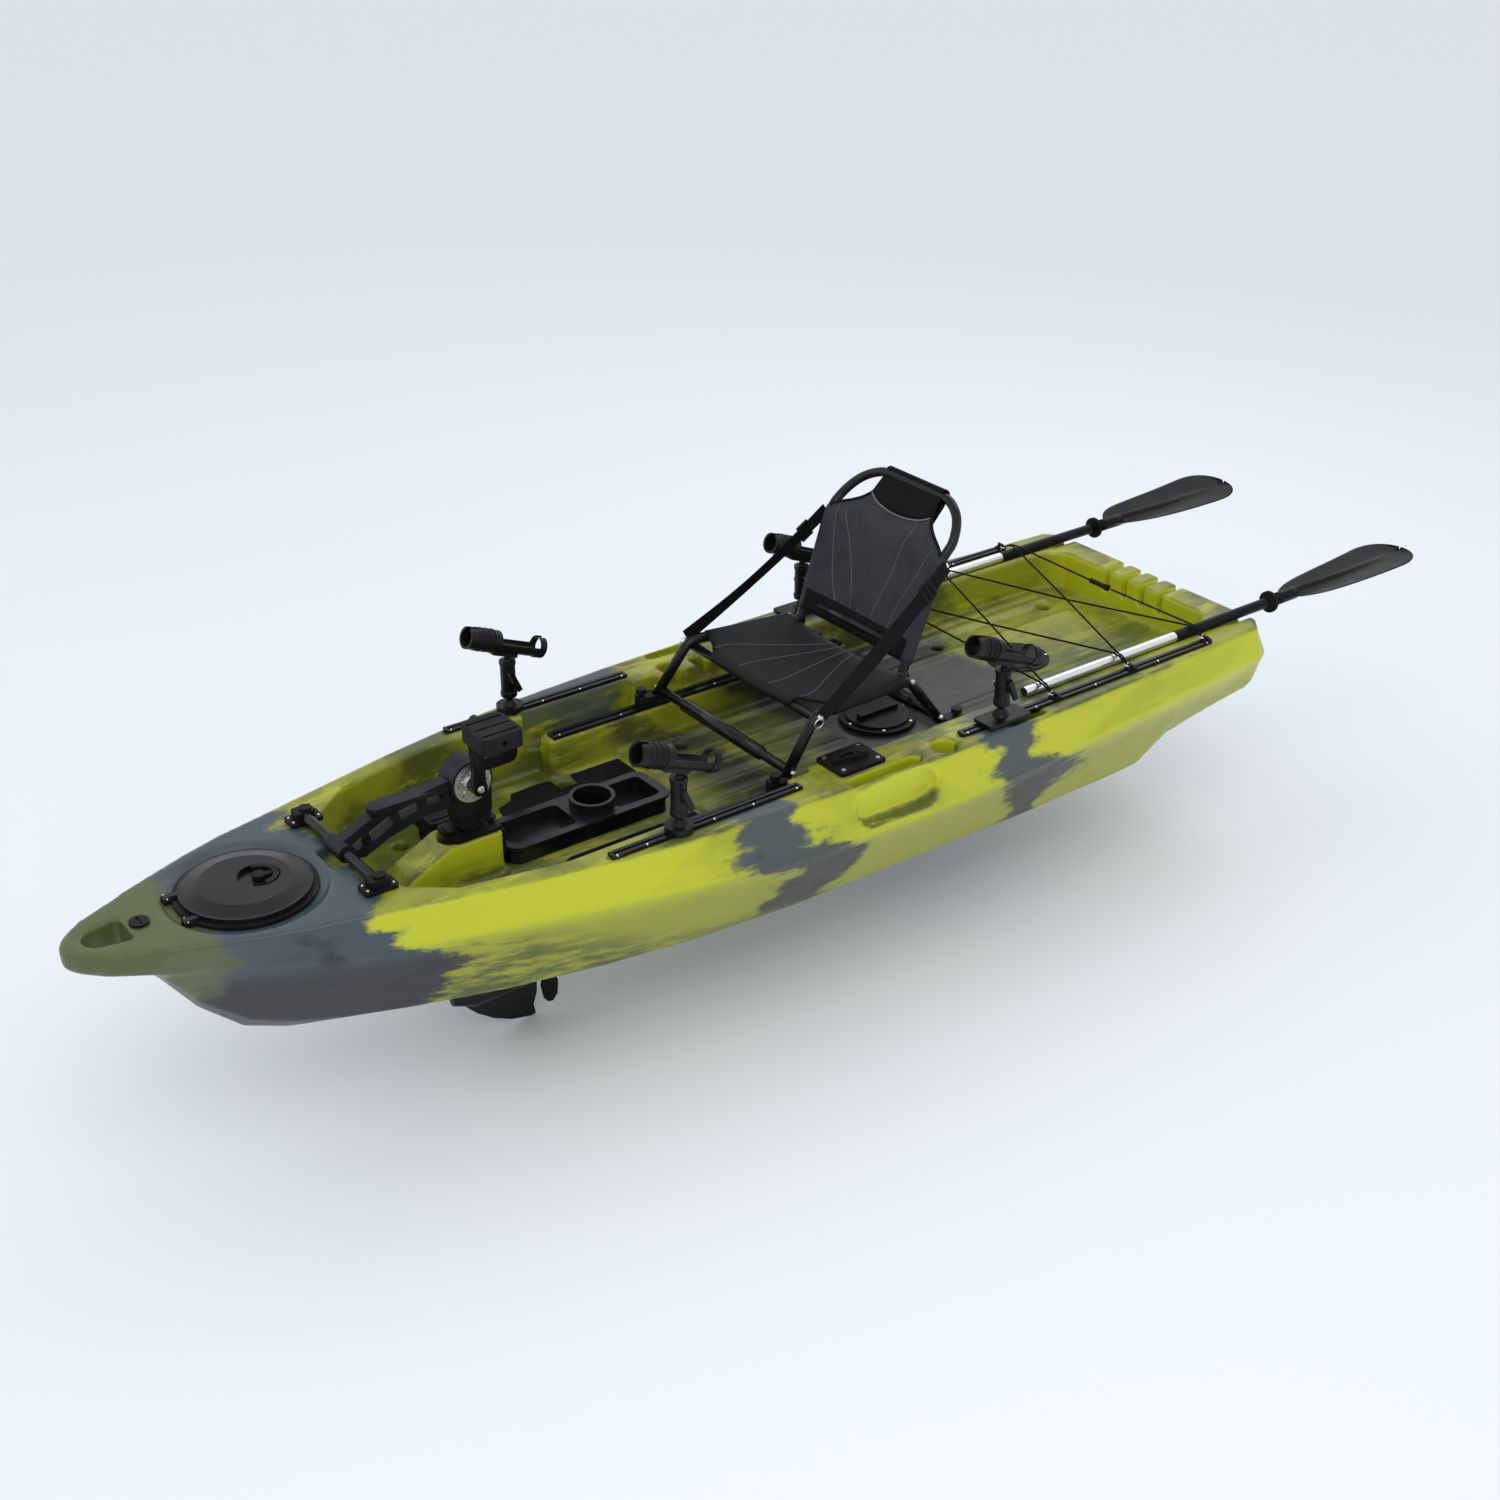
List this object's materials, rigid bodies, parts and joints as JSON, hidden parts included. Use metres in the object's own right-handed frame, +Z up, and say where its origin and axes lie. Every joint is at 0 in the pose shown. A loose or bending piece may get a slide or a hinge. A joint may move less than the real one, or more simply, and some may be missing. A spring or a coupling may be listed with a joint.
{
  "type": "pedal fishing kayak",
  "caption": "Sit-on-top pedal-drive fishing kayak with raised frame seat, rod holders, hatches, console tray, cargo cord and stowed two-piece paddle.",
  "frame": {"origin": "middle of the hull's length, on the centreline, at the flat of the hull's bottom", "axes": "+X to the bow, +Y to port, +Z up"},
  "size_m": [3.693, 0.94, 1.082],
  "materials": {
    "hull_plastic": "rotomoulded, three-colour camouflage",
    "black_plastic": "moulded black",
    "gloss_plastic": "moulded black with a sheen",
    "black_metal": "black anodised or powder coated",
    "drive_grey": "dark grey moulded cover",
    "steel": "stainless",
    "foam": "closed-cell foam pad",
    "cord": "elastic cord, woven sleeve",
    "pedal": "ribbed pedal",
    "webbing": "woven webbing",
    "mesh_fabric": "open mesh over a bent frame",
    "holder_plastic": "moulded black",
    "paddle_black": "black moulded blade and wrapped shaft",
    "aluminium_tube": "drawn tube",
    "rubber": "soft ring"
  },
  "bodies": {
    "hull": {"hull": "hull_plastic", "bow_plug": "black_plastic", "front_tracks": "black_metal", "rear_tracks": "black_metal", "seat_rails": "black_metal", "foot_pads": "foam", "pad_eyes": "black_plastic", "eye_rings": "steel", "bungee": "cord", "cord_lock": "black_plastic", "deck_plate": "black_plastic", "deck_screws": "steel", "hatch_rim": "black_plastic", "bow_hatch_rim": "black_plastic", "control_plate": "black_plastic", "bar_brackets": "black_plastic", "console_clip": "black_plastic"},
    "bow_lid": {"bow_lid": "gloss_plastic"},
    "lid_latch": {"lid_latch": "black_plastic"},
    "round_lid": {"round_lid": "black_plastic"},
    "console_tray": {"console_tray": "gloss_plastic"},
    "drive": {"cross_bar": "black_metal", "drive_arm": "drive_grey", "drive_housing": "drive_grey", "hub_discs": "steel", "drive_leg": "black_metal", "gear_case": "black_metal", "drive_collar": "black_plastic", "collar_clamps": "black_plastic"},
    "cranks": {"crank_arms": "black_metal"},
    "pedal_port": {"pedal_port": "pedal", "strap_port": "webbing"},
    "pedal_starboard": {"pedal_starboard": "pedal", "strap_starboard": "webbing"},
    "propeller": {"propeller": "black_plastic"},
    "control_lever": {"control_lever": "black_plastic"},
    "seat": {"seat_frame": "black_metal", "seat_clamps": "black_plastic", "seat_knobs": "black_plastic", "seat_panel": "mesh_fabric", "seat_straps": "webbing"},
    "seat_back": {"back_frame": "black_metal", "back_panel": "mesh_fabric"},
    "paddles": {"paddle_shafts": "paddle_black", "paddle_sleeves": "aluminium_tube", "paddle_blades": "paddle_black", "drip_rings": "rubber"},
    "rod_base_fp": {"base_fp": "holder_plastic"},
    "rod_arm_fp": {"arm_fp": "holder_plastic"},
    "rod_tube_fp": {"tube_fp": "holder_plastic"},
    "rod_base_fs": {"base_fs": "holder_plastic"},
    "rod_arm_fs": {"arm_fs": "holder_plastic"},
    "rod_tube_fs": {"tube_fs": "holder_plastic"},
    "rod_base_rp": {"base_rp": "holder_plastic"},
    "rod_arm_rp": {"arm_rp": "holder_plastic"},
    "rod_tube_rp": {"tube_rp": "holder_plastic"},
    "rod_base_rs": {"base_rs": "holder_plastic"},
    "rod_arm_rs": {"arm_rs": "holder_plastic"},
    "rod_tube_rs": {"tube_rs": "holder_plastic"}
  },
  "joints": [
    {"name": "bow_lid_hinge", "type": "hinge", "parent": "hull", "child": "bow_lid", "pos_m": [1.29, 0, 0.3431], "axis": [0, 1, 0], "range_deg": [0, 100]},
    {"name": "lid_latch_turn", "type": "hinge", "parent": "bow_lid", "child": "lid_latch", "pos_m": [1.111, 0, 0.355], "axis": [0, 0, 1], "range_deg": [0, 90]},
    {"name": "round_lid_turn", "type": "hinge", "parent": "hull", "child": "round_lid", "pos_m": [-0.54, 0, 0.217], "axis": [0, 0, 1], "range_deg": [0, 90]},
    {"name": "tray_lift", "type": "slide", "parent": "hull", "child": "console_tray", "axis": [0, 0, 1], "range_m": [0, 0.12]},
    {"name": "drive_tilt", "type": "hinge", "parent": "hull", "child": "drive", "pos_m": [0.93, 0, 0.359], "axis": [0, 1, 0], "range_deg": [0, 10]},
    {"name": "crank_turn", "type": "hinge", "parent": "drive", "child": "cranks", "pos_m": [0.626, 0, 0.425], "axis": [0, 1, 0], "continuous": true},
    {"name": "pedal_port_turn", "type": "hinge", "parent": "cranks", "child": "pedal_port", "pos_m": [0.626, 0.129, 0.585], "axis": [0, 1, 0], "continuous": true},
    {"name": "pedal_starboard_turn", "type": "hinge", "parent": "cranks", "child": "pedal_starboard", "pos_m": [0.626, -0.129, 0.265], "axis": [0, 1, 0], "continuous": true},
    {"name": "propeller_turn", "type": "hinge", "parent": "drive", "child": "propeller", "pos_m": [0.44, 0, -0.13], "axis": [1, 0, 0], "continuous": true},
    {"name": "control_lever_turn", "type": "hinge", "parent": "hull", "child": "control_lever", "pos_m": [-0.208, 0.327, 0.3544], "axis": [0, 0, 1], "range_deg": [-60, 60]},
    {"name": "seat_slide", "type": "slide", "parent": "hull", "child": "seat", "axis": [1, 0, 0], "range_m": [-0.04, 0.15]},
    {"name": "seat_back_fold", "type": "hinge", "parent": "seat", "child": "seat_back", "pos_m": [-0.44, 0, 0.43], "axis": [0, 1, 0], "range_deg": [0, 55]},
    {"name": "paddles_slide", "type": "slide", "parent": "hull", "child": "paddles", "axis": [-1, 0, 0], "range_m": [0, 0.85]},
    {"name": "rod_base_fp_slide", "type": "slide", "parent": "hull", "child": "rod_base_fp", "axis": [1, 0, 0], "range_m": [-0.28, 0.14]},
    {"name": "rod_arm_fp_swivel", "type": "hinge", "parent": "rod_base_fp", "child": "rod_arm_fp", "pos_m": [0.311, 0.346, 0.393], "axis": [0, 0, 1], "continuous": true},
    {"name": "rod_tube_fp_tilt", "type": "hinge", "parent": "rod_arm_fp", "child": "rod_tube_fp", "pos_m": [0.311, 0.346, 0.473], "axis": [0, 1, 0], "range_deg": [-12, 30]},
    {"name": "rod_base_fs_slide", "type": "slide", "parent": "hull", "child": "rod_base_fs", "axis": [1, 0, 0], "range_m": [-0.28, 0.14]},
    {"name": "rod_arm_fs_swivel", "type": "hinge", "parent": "rod_base_fs", "child": "rod_arm_fs", "pos_m": [0.311, -0.346, 0.393], "axis": [0, 0, 1], "continuous": true},
    {"name": "rod_tube_fs_tilt", "type": "hinge", "parent": "rod_arm_fs", "child": "rod_tube_fs", "pos_m": [0.311, -0.346, 0.473], "axis": [0, 1, 0], "range_deg": [-12, 30]},
    {"name": "rod_base_rp_slide", "type": "slide", "parent": "hull", "child": "rod_base_rp", "axis": [1, 0, 0], "range_m": [-0.08, 0.06]},
    {"name": "rod_arm_rp_swivel", "type": "hinge", "parent": "rod_base_rp", "child": "rod_arm_rp", "pos_m": [-0.592, 0.378, 0.393], "axis": [0, 0, 1], "continuous": true},
    {"name": "rod_tube_rp_tilt", "type": "hinge", "parent": "rod_arm_rp", "child": "rod_tube_rp", "pos_m": [-0.592, 0.378, 0.473], "axis": [0, 1, 0], "range_deg": [-12, 30]},
    {"name": "rod_base_rs_slide", "type": "slide", "parent": "hull", "child": "rod_base_rs", "axis": [1, 0, 0], "range_m": [-0.08, 0.06]},
    {"name": "rod_arm_rs_swivel", "type": "hinge", "parent": "rod_base_rs", "child": "rod_arm_rs", "pos_m": [-0.592, -0.378, 0.393], "axis": [0, 0, 1], "continuous": true},
    {"name": "rod_tube_rs_tilt", "type": "hinge", "parent": "rod_arm_rs", "child": "rod_tube_rs", "pos_m": [-0.592, -0.378, 0.473], "axis": [0, 1, 0], "range_deg": [-12, 30]}
  ],
  "couplings": [
    {"joint": "propeller_turn", "follows": "crank_turn", "ratio": 8}
  ]
}
